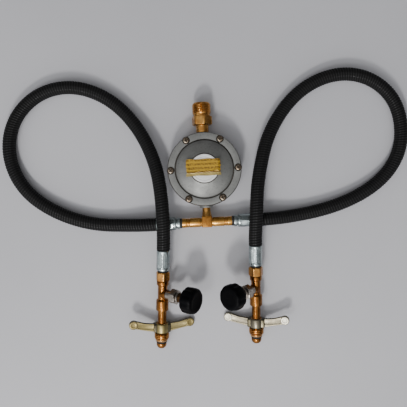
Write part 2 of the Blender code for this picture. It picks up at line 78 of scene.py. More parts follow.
# Regulator
FLANGE_RADIUS = 53.7
COVER_RADIUS = 52.4
CAP_RADIUS = 20.1
CAP_TOP = 48.2
SCREW_CIRCLE = 48.6
SCREW_COUNT = 6
SCREW_SEAT_RADIUS = 5.6
SCREW_HOLE_RADIUS = 2.7
FLANGE_TOP = 33.1
LABEL_FOLD = 4.6

# Turn of the outlet adapter about its axis, in degrees
ADAPTER_TURN = 45.5

# Regulator spring, from the middle of its wire
SPRING_RADIUS = 13.0
SPRING_WIRE_RADIUS = 0.88
SPRING_TURNS = 3
SPRING_LOW = 32.0
SPRING_TOP = 39.8

# Hoses. The braid's rows lie almost square across the hose and its ranks run along it.
HOSE_RADIUS = 9.8
HOSE_LEAD = 8.0
FERRULE_RADIUS = 9.6
FERRULE_LENGTH = 29.0
TEE_FERRULE_START = 45.4
VALVE_FERRULE_START = 118.5
BRAID_STRANDS = 12
BRAID_PITCH = 3.7
BRAID_SLANT = 2
BRAID_DEPTH = 0.8
BRAID_PROUD = 0.2
BRAID_ROWS = 0.62
BRAID_SEGMENTS = 72
BRAID_LOW = 0.05

# Threads, each a pitch and a depth, and hexagons
THREAD_ROWS = 9
ADAPTER_THREAD = (2.4, 1.5)
NUT_THREAD = (2.5, 1.5)
HEX_CONE = 30
HEX_EDGE = 0.3
HEX_CORNER = 0.25

# Camera, in metres and degrees, looking straight down
CAMERA_PLACE = (-0.0039, -0.0496, 0.75)
CAMERA_TURN = -2.9
CAMERA_ANGLE = 44.3

# Soft light: the direction that it is brightest from, its strength and its least share
BRIGHT_SIDE = (-0.3, -0.68, 0.67)
SKY_STRENGTH = 1.6
SKY_LEAST = 0.12

# Winged nut
TIP_REACH = 41.8
TIP_PLACE = HUB + 6.3
TIP_RADIUS = 6.5

# Side valve
KNOB_RADIUS = 18.7
KNOB_FACE_RADIUS = 15.2
KNOB_LOBES = 10
KNOB_LOBE_DEPTH = 0.9

# Each side's hub place, angles in degrees and hose route. lean turns the connector's axis away
# from +Y. branch_angle, wing_roll and nut_turn turn the valve, the wings and the hose nut about it.
SIDES = {
    "left": {
        "sign": -1,
        "hub": (-74.3, -228.8),
        "lean": -4.6,
        "branch_angle": 33.0,
        "wing_roll": 14.0,
        "nut_turn": 104.0,
        "route": [
            (-121.5, -76, 11.2), (-160.5, -72.5, 9.9), (-198.5, -62, 9.9), (-234, -44, 9.9),
            (-264, -18, 9.9), (-283, 18, 9.9), (-286, 58, 9.9), (-270.5, 96, 9.9),
            (-240.5, 122, 9.9), (-202, 132, 9.9), (-163.5, 125, 9.9), (-129.5, 105, 10.5),
            (-103, 76.5, 13), (-83.5, 43, 18.5), (-70.5, 6, 26), (-64.5, -32.5, 33.5),
            (-63, -71, 36),
        ],
    },
    "right": {
        "sign": 1,
        "hub": (64.9, -228.6),
        "lean": -1.4,
        "branch_angle": 135.0,
        "wing_roll": -14.0,
        "nut_turn": 125.0,
        "route": [
            (121.5, -75, 11.2), (160.5, -69.5, 9.9), (198, -60, 9.9), (234, -44.5, 9.9),
            (266, -21, 9.9), (287.5, 11.5, 9.9), (293.5, 51, 9.9), (283.5, 90, 9.9),
            (255.5, 119, 9.9), (217.5, 131, 9.9), (177.5, 125, 9.9), (143, 105.5, 10.5),
            (116, 77, 13), (95.5, 42.5, 18.5), (83, 6, 26), (74.5, -32.5, 33.5),
            (70.5, -71.5, 36),
        ],
    },
}


# Frames of the fittings

def placed(place, turn=(0, 0, 0)):
    """Matrix of a place in millimetres, turned by degrees about X, then Y, then Z."""
    angles = [math.radians(value) for value in turn]
    return Matrix.Translation(Vector(place)) @ Euler(angles).to_matrix().to_4x4()


PORTS = placed((0, 0, PORT_HEIGHT), (-90, 0, 0))
TEE_RUN = placed((0, TEE_Y, PORT_HEIGHT), (0, 90, 0))
TEE_NECK = placed((0, TEE_Y, PORT_HEIGHT), (-90, 0, 0))


def spun(place, degrees):
    """The place turned about its own axis."""
    return place @ placed((0, 0, 0), (0, 0, degrees))


def tee_axis(side):
    return placed((0, TEE_Y, PORT_HEIGHT), (0, 90 * side["sign"], 0))


def connector_axis(side):
    hub = placed((*side["hub"], AXIS_HEIGHT), (TILT - 90, 0, side["lean"]))
    return hub @ placed((0, 0, -HUB))


def branch_axis(side):
    return connector_axis(side) @ placed((0, 0, BRANCH), (0, 90, -side["branch_angle"]))


def wing_axis(side):
    return spun(connector_axis(side), side["wing_roll"])


# Mesh making. A shape is (points in millimetres, faces, UV corners of each face).

def radius_at(radius, angle, height):
    return radius(angle, height) if callable(radius) else radius


def revolved(rows, segments=ROUND, closed=False):
    """Shape turned about local Z from (radius, height) rows. A radius may be a function of
    the angle and the height. A closed profile runs on through its bore to its first row."""
    rows = list(rows) + ([rows[0]] if closed else [])
    points, faces, corners = [], [], []
    rings, run, runs = [], 0.0, []
    before = None
    for index, (radius, height) in enumerate(rows):
        size = radius_at(radius, 0.0, height)
        if before:
            run += math.hypot(size - before[0], height - before[1])
        before = (size, height)
        runs.append(run)
        if closed and index == len(rows) - 1:
            rings.append(rings[0])
        elif size == 0:
            rings.append([len(points)])
            points.append((0, 0, height))
        else:
            first = len(points)
            for step in range(segments):
                angle = math.tau * step / segments
                reach = radius_at(radius, angle, height)
                points.append((reach * math.cos(angle), reach * math.sin(angle), height))
            rings.append(list(range(first, first + segments)))
    for low, high, start, end in zip(rings, rings[1:], runs, runs[1:]):
        for step in range(segments):
            after = step + 1
            quad = [
                (low[step % len(low)], step, start), (low[after % segments % len(low)], after, start),
                (high[after % segments % len(high)], after, end), (high[step % len(high)], step, end),
            ]
            if len(low) == 1:
                quad.pop(1)
            if len(high) == 1:
                quad.pop(2 if len(low) > 1 else 1)
            faces.append([item[0] for item in quad])
            corners.append([(item[1] / segments, item[2] / 10) for item in quad])
    if not closed:
        for end_cap in (rings[0][::-1], rings[-1]):
            if len(end_cap) > 1:
                faces.append(end_cap)
                corners.append([(0.0, 0.0)] * len(end_cap))
    return np.array(points, float), faces, corners


def softened(profile, size=0.35, closed=False):
    """The profile with its corners rounded off, by at most size along each side."""
    count = len(profile)
    rounded = []
    for index, point in enumerate(profile):
        ends = index in (0, count - 1) and not closed
        before, after = profile[index - 1], profile[(index + 1) % count]
        if ends or point[0] == 0:
            rounded.append(point)
            continue
        here = Vector(point)
        back, ahead = Vector(before) - here, Vector(after) - here
        if back.length < 1e-6 or ahead.length < 1e-6:
            continue
        start = here + back.normalized() * min(size, back.length * 0.45)
        end = here + ahead.normalized() * min(size, ahead.length * 0.45)
        for t in (0.0, 0.33, 0.67, 1.0):
            spot = start * (1 - t) ** 2 + here * 2 * t * (1 - t) + end * t * t
            rounded.append((spot.x, spot.y))
    return rounded


def threaded(radius, ends, thread):
    """Rows of a helical thread between two heights, which fades out at both."""
    pitch, depth = thread
    low, high = ends
    count = round((high - low) / pitch * THREAD_ROWS)
    rows = []
    for index in range(count + 1):
        height = low + (high - low) * index / count

        def reach(angle, height):
            phase = (height / pitch - angle / math.tau) % 1.0
            ridge = min(1.0, (1 - abs(2 * phase - 1)) / 0.55)
            fade = min(1.0, (height - low) / pitch + 0.15, (high - height) / pitch + 0.35)
            return radius - depth * (1 - ridge * fade)

        rows.append((reach, height))
    return rows


def hexagon(across, ends):
    """Rows of a hexagonal stretch whose corners are turned off at both ends."""
    low, high = ends
    half = across / 2
    corner = half / math.cos(math.pi / 6)
    slope = math.tan(math.radians(HEX_CONE))
    depth = (corner - half) * slope
    rows = []
    heights = [low + depth * t for t in (0, 0.15, 0.35, 0.6, 1)]
    heights += [high - depth * t for t in (1, 0.6, 0.35, 0.15, 0)]
    for height in heights:
        into = min(height - low, high - height)
        turned_off = min(half - HEX_EDGE + into / slope, corner - HEX_CORNER)

        def reach(angle, _, turned_off=turned_off):
            flat = half / math.cos(angle % (math.pi / 3) - math.pi / 6)
            return min(flat, turned_off)

        rows.append((reach, height))
    return rows


def oblong(left, right, low, high):
    """Corners of an oblong, as an outline or as the rows of a plain ring or disc."""
    return [(left, low), (right, low), (right, high), (left, high)]


def slab(outline, low, high):
    """Shape of an outline in local X and Z between two heights of local Y."""
    count = len(outline)
    points = [(x, low, z) for x, z in outline] + [(x, high, z) for x, z in outline]
    faces = [list(range(count))[::-1], list(range(count, 2 * count))]
    for index in range(count):
        after = (index + 1) % count
        faces.append([index, after, count + after, count + index])
    corners = [[(points[i][0] / 10, points[i][2] / 10) for i in face] for face in faces]
    return np.array(points, float), faces, corners


def tube(rings, lay):
    """Shape of a capped tube through rings of points. lay gives the UV corners of a face."""
    around = len(rings[0])
    faces, corners = [], []
    for row in range(len(rings) - 1):
        low, high = row * around, (row + 1) * around
        for index in range(around):
            after = (index + 1) % around
            faces.append([low + index, low + after, high + after, high + index])
            corners.append(lay(row, index))
    last = (len(rings) - 1) * around
    faces += [list(range(around))[::-1], list(range(last, last + around))]
    corners += [[(0.0, 0.0)] * around] * 2
    return np.concatenate(rings), faces, corners


def moved(shape, matrix):
    """The shape placed by a matrix in millimetres."""
    points, faces, corners = shape
    turn = np.array(matrix.to_3x3())
    return points @ turn.T + np.array(matrix.translation), faces, corners


def turned(rows, place, segments=ROUND):
    """Closed ring of rows turned about a place's local Z."""
    return moved(revolved(rows, segments, True), place)


def make(name, shapes, look, sharp=32):
    """One object of the shapes, smooth but for its sharp edges."""
    mesh = bpy.data.meshes.new(name)
    points, faces, corners = [], [], []
    offset = 0
    for shape in shapes:
        points.append(shape[0])
        faces += [[index + offset for index in face] for face in shape[1]]
        corners += shape[2]
        offset += len(shape[0])
    mesh.from_pydata((np.concatenate(points) * MM).tolist(), [], faces)
    layer = mesh.uv_layers.new(name="lay")
    flat = [value for face in corners for corner in face for value in corner]
    layer.data.foreach_set("uv", flat)
    bm = bmesh.new()
    bm.from_mesh(mesh)
    bmesh.ops.recalc_face_normals(bm, faces=bm.faces)
    bm.to_mesh(mesh)
    bm.free()
    mesh.shade_smooth()
    mesh.set_sharp_from_angle(angle=math.radians(sharp))
    mesh.materials.append(look)
    made = bpy.data.objects.new(name, mesh)
    bpy.context.collection.objects.link(made)
    return made


def tool(name, shape):
    made = make(name, [shape], bpy.data.materials.new("tool"))
    made.hide_render = True
    return made


def carved(obj, steps):
    """Applies ("UNION" or "DIFFERENCE", shape) steps to an object's mesh."""
    tools = []
    for index, (operation, shape) in enumerate(steps):
        tools.append(tool(f"{obj.name}_tool_{index}", shape))
        modifier = obj.modifiers.new(tools[-1].name, "BOOLEAN")
        modifier.operation = operation
        modifier.solver = "EXACT"
        modifier.object = tools[-1]
    settle(obj)
    for used in tools:
        bpy.data.objects.remove(used, do_unlink=True)
    return obj


def settle(obj, sharp=32):
    """Replaces an object's mesh with what its modifiers make of it."""
    bpy.context.view_layer.update()
    look = obj.data.materials[0]
    graph = bpy.context.evaluated_depsgraph_get()
    mesh = bpy.data.meshes.new_from_object(obj.evaluated_get(graph))
    obj.modifiers.clear()
    obj.data = mesh
    mesh.materials.clear()
    mesh.materials.append(look)
    mesh.polygons.foreach_set("material_index", [0] * len(mesh.polygons))
    mesh.shade_smooth()
    mesh.set_sharp_from_angle(angle=math.radians(sharp))
    return obj


def bevelled(obj, width, segments=3, angle=32):
    modifier = obj.modifiers.new("bevel", "BEVEL")
    modifier.width = width * MM
    modifier.segments = segments
    modifier.limit_method = "ANGLE"
    modifier.angle_limit = math.radians(angle)
    return settle(obj)


def stands(obj, body, slot, *nodes):
    """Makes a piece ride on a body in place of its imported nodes."""
    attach(obj, body)
    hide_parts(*nodes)
    return obj


def fitting(piece, node, shape, look, slot, body="set", sharp=32):
    """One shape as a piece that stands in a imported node's place."""
    return stands(make(piece, [shape], look, sharp), body, slot, node)


def rod(radius, ends, segments=48):
    return revolved([(radius, ends[0]), (radius, ends[1])], segments)


# Materials

class Nodes:
    """Short ways to add and join a material's nodes."""

    def __init__(self, name):
        self.material = bpy.data.materials.new(name)
        self.material.use_nodes = True
        self.tree = self.material.node_tree
        self.shader = self.tree.nodes["Principled BSDF"]

    def add(self, kind, links=(), **values):
        made = self.tree.nodes.new(kind)
        for key, value in values.items():
            setattr(made, key, value)
        for key, value in links:
            self.put(made.inputs[key], value)
        return made

    def put(self, socket, value):
        if isinstance(value, bpy.types.NodeSocket):
            self.tree.links.new(value, socket)
        elif socket.type == "RGBA":
            socket.default_value = (*value, 1)
        else:
            socket.default_value = value

    def set(self, **values):
        for key, value in values.items():
            self.put(self.shader.inputs[key.replace("_", " ")], value)

    def place(self):
        return self.add("ShaderNodeTexCoord").outputs["Object"]

    def lay(self, scale=(1, 1, 1)):
        """The piece's own lay: round it in X and along it in Y."""
        uv = self.add("ShaderNodeUVMap", uv_map="lay").outputs["UV"]
        return self.add("ShaderNodeMapping", [("Vector", uv), ("Scale", scale)]).outputs[0]

    def noise(self, scale, detail=3.0, rough=0.55, where=None):
        links = [("Vector", where or self.place()), ("Scale", scale), ("Detail", detail)]
        return self.add("ShaderNodeTexNoise", links + [("Roughness", rough)]).outputs["Fac"]

    def ramp(self, value, low, high, start=0.3, end=0.7):
        links = [("Value", value), ("From Min", start), ("From Max", end)]
        links += [("To Min", low), ("To Max", high)]
        return self.add("ShaderNodeMapRange", links).outputs["Result"]

    def mix(self, share, first, second):
        made = self.add("ShaderNodeMix", data_type="RGBA")
        self.put(made.inputs[0], share)
        self.put(made.inputs[6], first)
        self.put(made.inputs[7], second)
        return made.outputs[2]

    def math(self, operation, first, second):
        return self.add("ShaderNodeMath", [(0, first), (1, second)], operation=operation).outputs[0]

    def bump(self, height, strength, distance, normal=None):
        links = [("Height", height), ("Strength", strength), ("Distance", distance)]
        if normal:
            links.append(("Normal", normal))
        return self.add("ShaderNodeBump", links).outputs["Normal"]


def shade(colour, share):
    return tuple(value * share for value in colour)


def turned_metal(name, colour, dark, rough, stain=110, lines=0.12):
    """Machined metal: fine turning lines, blotchy tarnish and a change of gloss with it."""
    look = Nodes(name)
    blotch = look.noise(stain, 4.0)
    speck = look.noise(1400, 2.0)
    colour_mix = look.mix(look.ramp(blotch, 0, 1, 0.34, 0.66), colour, dark)
    colour_mix = look.mix(look.ramp(speck, 0, 0.35, 0.5, 0.75), colour_mix, shade(dark, 0.5))
    streak = look.noise(1.0, 2.0, 0.6, look.lay((1.5, 55, 1)))
    tone = look.math("ADD", look.math("MULTIPLY", blotch, 0.6), look.math("MULTIPLY", streak, 0.4))
    look.set(Base_Color=colour_mix, Metallic=1.0)
    look.set(Roughness=look.ramp(tone, rough[0], rough[1], 0.35, 0.65))
    normal = look.bump(streak, lines, 0.0002)
    look.set(Normal=look.bump(look.noise(700, 3.0), 0.06, 0.0003, normal))
    return look.material


def forged_metal(name, colour, dark):
    """Forged brass with a grainy skin."""
    look = Nodes(name)
    grain = look.noise(620, 5.0, 0.65)
    blotch = look.noise(130, 3.0)
    mixed = look.mix(look.ramp(grain, 0, 1, 0.38, 0.62), dark, colour)
    look.set(Base_Color=look.mix(look.ramp(blotch, 0, 0.5), mixed, shade(dark, 0.8)))
    look.set(Metallic=1.0, Roughness=look.ramp(grain, 0.55, 0.34))
    look.set(Normal=look.bump(grain, 0.55, 0.0006))
    return look.material


def cast_metal(name, colour, dark, metallic, rough=(0.42, 0.6)):
    """Die-cast zinc: an even skin with a fine grain, flow marks and worn, brighter patches."""
    look = Nodes(name)
    flow = look.noise(38, 5.0, 0.6)
    grain = look.noise(1500, 3.0)
    pits = look.noise(480, 2.0)
    mixed = look.mix(look.ramp(flow, 0, 1, 0.32, 0.68), colour, dark)
    mixed = look.mix(look.ramp(pits, 0, 0.55, 0.58, 0.72), mixed, shade(dark, 0.55))
    look.set(Base_Color=mixed, Metallic=metallic)
    look.set(Roughness=look.ramp(flow, rough[0], rough[1]))
    normal = look.bump(grain, 0.18, 0.0003)
    look.set(Normal=look.bump(pits, 0.12, 0.0005, normal))
    return look.material


def plain_plastic(name, colour, rough, grain=0.12, speckle=0.85, specular=0.5):
    """Moulded plastic with a fine spark-eroded grain and a slight unevenness."""
    look = Nodes(name)
    cloud = look.noise(90, 3.0)
    fine = look.noise(1800, 2.0)
    look.set(Base_Color=look.mix(look.ramp(cloud, 0, 1), colour, shade(colour, speckle)))
    look.set(Roughness=look.ramp(cloud, rough[0], rough[1]))
    look.set(Normal=look.bump(fine, grain, 0.0002))
    look.set(Specular_IOR_Level=specular)
    return look.material


def rubber(name, colour=(0.014, 0.014, 0.014)):
    look = Nodes(name)
    cloud = look.noise(160, 3.0)
    look.set(Base_Color=look.mix(look.ramp(cloud, 0, 1), colour, shade(colour, 2.2)))
    look.set(Roughness=look.ramp(cloud, 0.5, 0.75))
    look.set(Normal=look.bump(look.noise(1300, 2.0), 0.15, 0.0002))
    look.set(Specular_IOR_Level=0.25)
    return look.material


def braid_cloth(name):
    """Black textile cover: strand tops polished and painted a little lighter as a painted highlight, with
    matt gaps between them.
    """
    look = Nodes(name)
    lay = look.add("ShaderNodeSeparateXYZ", [("Vector", look.lay())])
    rows = look.math("MULTIPLY", lay.outputs["Y"], math.tau * 10 / BRAID_PITCH)
    slant = look.math("MULTIPLY", lay.outputs["X"], math.tau * BRAID_SLANT)
    ranks = look.math("MULTIPLY", lay.outputs["X"], math.tau * BRAID_STRANDS)
    across = look.math("COSINE", look.math("ADD", rows, slant), 0)
    between = look.math("MULTIPLY", look.math("COSINE", ranks, 0), 0.35)
    tops = look.ramp(look.math("ADD", across, between), 0, 1, 0.1, 1.2)
    cloud = look.noise(60, 3.0)
    fuzz = look.noise(2600, 3.0)
    base = look.mix(look.ramp(cloud, 0, 1), (0.001, 0.001, 0.0012), (0.003, 0.0029, 0.003))
    # Painted highlight: the strand tops are lighter, unevenly by the fuzz noise.
    base = look.mix(look.math("MULTIPLY", tops, look.ramp(fuzz, 0.4, 1)), base, (0.016, 0.016, 0.017))
    look.set(Base_Color=base, Roughness=look.ramp(tops, 0.9, 0.2, 0, 1))
    look.set(Normal=look.bump(fuzz, 0.15, 0.0002))
    look.set(Specular_IOR_Level=0.24)
    return look.material


def label_film(name):
    """Yellow film with faded brown bands along it, a paler strip on its lower side, which is a painted
    highlight, and a brown line along its fold, which is painted shade.
    """
    look = Nodes(name)
    axes = look.add("ShaderNodeSeparateXYZ", [("Vector", look.place())])
    wobble = look.noise(220, 3.0)
    along = look.math("ADD", axes.outputs["Y"], look.math("MULTIPLY", wobble, 0.0022))
    wave = look.math("SINE", look.math("MULTIPLY", along, 2 * math.pi / 0.0055), 0)
    patch = look.noise(420, 4.0, 0.7)
    dashes = look.ramp(look.noise(430, 3.0, 0.7), 0.1, 1, 0.42, 0.56)
    dark = look.math("MULTIPLY", look.ramp(wave, 0, 1, -0.6, 0.3), dashes)
    yellow, brown, pale = (0.44, 0.26, 0.014), (0.1, 0.048, 0.004), (0.46, 0.36, 0.13)
    mixed = look.mix(look.math("MULTIPLY", dark, 0.95), yellow, brown)
    # Painted highlight: a paler strip on the lower side, where the film turns up.
    lower = look.ramp(along, 1, 0, -0.0052, -0.0048)
    mixed = look.mix(look.math("MULTIPLY", lower, 0.85), mixed, pale)
    # Painted shade: a brown line along the fold's crease.
    from_fold = look.math("ABSOLUTE", look.math("ADD", along, LABEL_FOLD * MM), 0)
    mixed = look.mix(look.ramp(from_fold, 0.9, 0, 0.0003, 0.0008), mixed, brown)
    look.set(Base_Color=mixed, Roughness=look.ramp(patch, 0.3, 0.55))
    look.set(Metallic=look.ramp(patch, 0.1, 0.35))
    look.set(Normal=look.bump(patch, 0.5, 0.0006))
    return look.material


def paper(name):
    """Pale matt backdrop paper."""
    look = Nodes(name)
    cloud = look.noise(2.2, 4.0)
    base = look.mix(look.ramp(cloud, 0, 1), (0.46, 0.461, 0.49), (0.505, 0.506, 0.535))
    look.set(Base_Color=base, Roughness=0.85)
    look.set(Normal=look.bump(look.noise(900, 3.0), 0.04, 0.0004))
    look.set(Specular_IOR_Level=0.2)
    return look.material


# Colour, darker colour, roughness from and to, and what else turned_metal takes
TURNED_METALS = {
    "brass": ((0.3, 0.13, 0.031), (0.145, 0.05, 0.011), (0.16, 0.3)),
    "dark_brass": ((0.13, 0.07, 0.028), (0.05, 0.024, 0.01), (0.22, 0.36)),
    "nut_brass": ((0.52, 0.27, 0.075), (0.3, 0.125, 0.032), (0.17, 0.3)),
    "adapter_brass": ((0.68, 0.37, 0.105), (0.38, 0.17, 0.042), (0.18, 0.34)),
    "tee_brass": ((0.7, 0.38, 0.095), (0.48, 0.22, 0.045), (0.2, 0.34)),
    "zinc_plated_steel": ((0.46, 0.52, 0.52), (0.28, 0.33, 0.34), (0.2, 0.34), 150, 0.05),
    "spring_steel": ((0.5, 0.5, 0.5), (0.35, 0.35, 0.35), (0.3, 0.42)),
    "screw_steel": ((0.42, 0.36, 0.28), (0.12, 0.07, 0.04), (0.18, 0.36), 420),
}

# Colour, darker colour, and what else cast_metal takes
CAST_METALS = {
    "nickel": ((0.18, 0.162, 0.12), (0.115, 0.1, 0.068), 0.9, (0.28, 0.42)),
    "olive_nickel": ((0.38, 0.31, 0.145), (0.22, 0.175, 0.07), 0.95, (0.28, 0.42)),
    "valve_nickel": ((0.46, 0.42, 0.38), (0.28, 0.25, 0.22), 1.0, (0.22, 0.36)),
    # Tip discs: a lighter copy of the nickel, painted light, and a darker copy of the olive nickel,
    # painted shade.
    "lit_nickel_tip": ((0.36, 0.34, 0.28), (0.26, 0.24, 0.19), 0.85, (0.28, 0.42)),
    "shaded_olive_tip": ((0.34, 0.27, 0.12), (0.2, 0.155, 0.06), 0.95, (0.26, 0.4)),
    # Darker copy of the nickel: painted shade on the wing nut's shoulders.
    "shaded_shoulder_nickel": ((0.09, 0.08, 0.052), (0.05, 0.043, 0.026), 0.95, (0.26, 0.4)),
    "zinc_cast": ((0.255, 0.26, 0.25), (0.175, 0.176, 0.172), 0.7, (0.46, 0.62)),
    # Darker nickel for painted shade on the wings' side faces and round the tip discs.
    "painted_edge_shade": ((0.13, 0.12, 0.085), (0.07, 0.06, 0.04), 0.7),
}

# Colour, and what else plain_plastic takes
PLASTICS = {
    "knob_plastic": ((0.0012, 0.0012, 0.0016), (0.42, 0.55), 0.2, 1.6, 0.05),
    "white_plastic": ((0.76, 0.755, 0.75), (0.4, 0.55)),
    "amber_plastic": ((0.36, 0.2, 0.09), (0.4, 0.55)),
}


def make_looks():
    """The looks, named after the record's material slots, with a few extra tones."""
    looks = {name: turned_metal(name, *values) for name, values in TURNED_METALS.items()}
    looks |= {name: cast_metal(name, *values) for name, values in CAST_METALS.items()}
    looks |= {name: plain_plastic(name, *values) for name, values in PLASTICS.items()}
    looks["forged_brass"] = forged_metal("forged_brass", (0.56, 0.28, 0.065), (0.24, 0.085, 0.016))
    looks["hose_cover"] = braid_cloth("hose_cover")
    looks["rubber"] = rubber("rubber")
    # Dark look for painted shade in the regulator's recesses.
    looks["painted_recess_shade"] = rubber("painted_recess_shade", (0.03, 0.024, 0.018))
    looks["label_film"] = label_film("label_film")
    return looks


# Regulator

def housing(looks):
    """Round base with its flange, an inlet and an outlet boss and two cheeks for the lever's pin."""
    profile = [
        (0, 0), (31, 0), (38, 2.5), (43.3, 9), (43.3, 21), (FLANGE_RADIUS, 21),
        (FLANGE_RADIUS, 27), (40, 27), (40, 9), (36, 4), (0, 3),
    ]
    body = make("housing_body", [revolved(softened(profile, 0.9), FINE_ROUND)], looks["zinc_cast"])
    steps = []
    for boss in (oblong(0, 9.5, -56, -41), oblong(0, 10.8, 41, 53.9)):
        steps.append(("UNION", moved(revolved(softened(boss, 0.8), 64), PORTS)))
    for left in (-6.5, 2.2):
        steps.append(("UNION", slab(oblong(left, left + 4.3, 2, 14.5), -19, -7)))
    bores = [(6.3, (-60, -44.2)), (5.3, (-45, -35)), (8.7, (41.4, 60)), (6, (35, 42)), (4.5, (-25, 0))]
    steps += [("DIFFERENCE", moved(rod(radius, ends), PORTS)) for radius, ends in bores]
    pin = placed((0, -12, 9), (0, 90, 0))
    steps.append(("DIFFERENCE", moved(rod(1.4, (-9, 9)), pin)))
    steps += screw_cuts(SCREW_HOLE_RADIUS, (15, 35))
    carved(body, steps)
    stands(body, "set", "zinc_cast", "lower_housing")


def screw_places():
    for index in range(SCREW_COUNT):
        angle = math.tau * index / SCREW_COUNT
        yield SCREW_CIRCLE * math.cos(angle), SCREW_CIRCLE * math.sin(angle)


def screw_cuts(radius, ends):
    """Cuts at the screws, each turned a little so that no edges meet."""
    cuts = []
    for x, y in screw_places():
        cuts.append(("DIFFERENCE", moved(rod(radius, ends, 40), placed((x, y, 0), (0, 0, 3.3)))))
    return cuts


def cover(looks):
    """Domed shell with a groove round the dome and a sunk seat for each screw."""
    outer = [
        (39.5, 29.1), (COVER_RADIUS, 29.1), (COVER_RADIUS, FLANGE_TOP), (42.9, FLANGE_TOP),
        (42.6, FLANGE_TOP - 2.4), (41.5, FLANGE_TOP - 2.4), (41.2, FLANGE_TOP + 0.6),
        (40.6, 35.6), (36, 38.6), (30, 41.7), (25, 44.3), (22.4, 45.6), (CAP_RADIUS + 1.4, 46.0),
        (CAP_RADIUS + 0.8, 45.8), (CAP_RADIUS + 0.7, 44.9),
    ]
    inner = [(16.5, 44.9), (16.5, 40.2), (28, 39.6), (34.5, 36.2), (39.5, 32.2)]
    profile = softened(outer + inner, 0.5, closed=True)
    shell = make("cover_shell", [revolved(profile, FINE_ROUND, True)], looks["zinc_cast"])
    steps = screw_cuts(SCREW_HOLE_RADIUS, (20, 40))
    steps += screw_cuts(SCREW_SEAT_RADIUS, (FLANGE_TOP - 2.2, FLANGE_TOP + 5))
    carved(shell, steps)
    stands(shell, "set", "zinc_cast", "spring_cover")


def cover_screws(looks):
    """Pan heads with a cross recess, each turned its own way."""
    low = FLANGE_TOP - 2.1
    profile = [
        (0, 21.6), (2.3, 21.6), (2.3, low), (4.4, low), (4.4, low + 2.1), (3.9, low + 2.9),
        (2.6, low + 3.3), (0, low + 3.4),
    ]
    for number, (x, y) in enumerate(screw_places(), 1):
        head = make(
            f"screw_{number}", [moved(revolved(softened(profile, 0.3), 48), placed((x, y, 0)))],
            looks["screw_steel"],
        )
        turn = 17 + 31 * number
        arm = [(-2.4, low + 1.0), (2.4, low + 1.0), (3.1, low + 6), (-3.1, low + 6)]
        arms = [moved(slab(arm, -0.8, 0.8), placed((x, y, 0), (0, 0, turn + extra)))
                for extra in (0, 90)]
        carved(head, [("DIFFERENCE", shape) for shape in arms])
        stands(head, "set", "zinc_plated_steel", f"cover_screw_{number}")


def recesses(looks):
    """Painted shade: dark rings in the groove round the dome, below the cover's rim and round the cap and
    screws, and dark discs in the screws' cross recesses.
    """
    low = FLANGE_TOP - 2.2
    shapes = [revolved(oblong(41.6, 42.5, low - 0.1, low), ROUND, True)]
    shapes.append(revolved(oblong(52.3, 53.5, 26.9, 27.2), FINE_ROUND, True))
    shapes.append(revolved(oblong(20.7, 21.5, 45.7, 46.1), FINE_ROUND, True))
    ring, cross = oblong(4.5, 5.5, low - 0.1, low + 0.1), oblong(0, 2.5, low + 1.2, low + 1.4)
    for x, y in screw_places():
        shapes.append(turned(ring, placed((x, y, 0)), 40))
        shapes.append(moved(revolved(cross, 24), placed((x, y, 0))))
    # Painted shade where the recesses lie in shadow.
    painted_shade = make("recess_painted_shade", shapes, looks["painted_recess_shade"])
    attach(painted_shade, "set")


def spring(looks):
    """Coil spring over the diaphragm's plate, drawn at rest on a mesh of its own. The real spring
    flattens as the plate rises.
    """
    steps, around = 40, 12
    rise = (SPRING_TOP - SPRING_LOW) / (SPRING_TURNS * steps)
    rings = []
    for step in range(SPRING_TURNS * steps + 1):
        angle = math.tau * step / steps
        ring = []
        for index in range(around):
            spin = math.tau * index / around
            reach = SPRING_RADIUS + SPRING_WIRE_RADIUS * math.cos(spin)
            height = SPRING_LOW + rise * step + SPRING_WIRE_RADIUS * math.sin(spin)
            ring.append((reach * math.cos(angle), reach * math.sin(angle), height))
        rings.append(ring)
    shape = tube(rings, lambda row, _: [(0.0, row / 10)] * 4)
    look = looks["spring_steel"]
    coil = fitting("spring_coil", "regulator_spring", shape, look, "spring_steel", sharp=60)
    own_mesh(coil)


def cap(looks):
    profile = [
        (0, 46.4), (15.5, 46.4), (15.5, 45.2), (CAP_RADIUS, 45.2), (CAP_RADIUS, CAP_TOP - 0.6),
        (CAP_RADIUS - 0.5, CAP_TOP), (17.2, CAP_TOP), (16.8, CAP_TOP - 0.35),
        (16.2, CAP_TOP - 0.35), (15.8, CAP_TOP), (0, CAP_TOP),
    ]
    disc = revolved(softened(profile, 0.3), FINE_ROUND)
    fitting("cap_disc", "closing_cap", disc, looks["white_plastic"], "white_plastic")


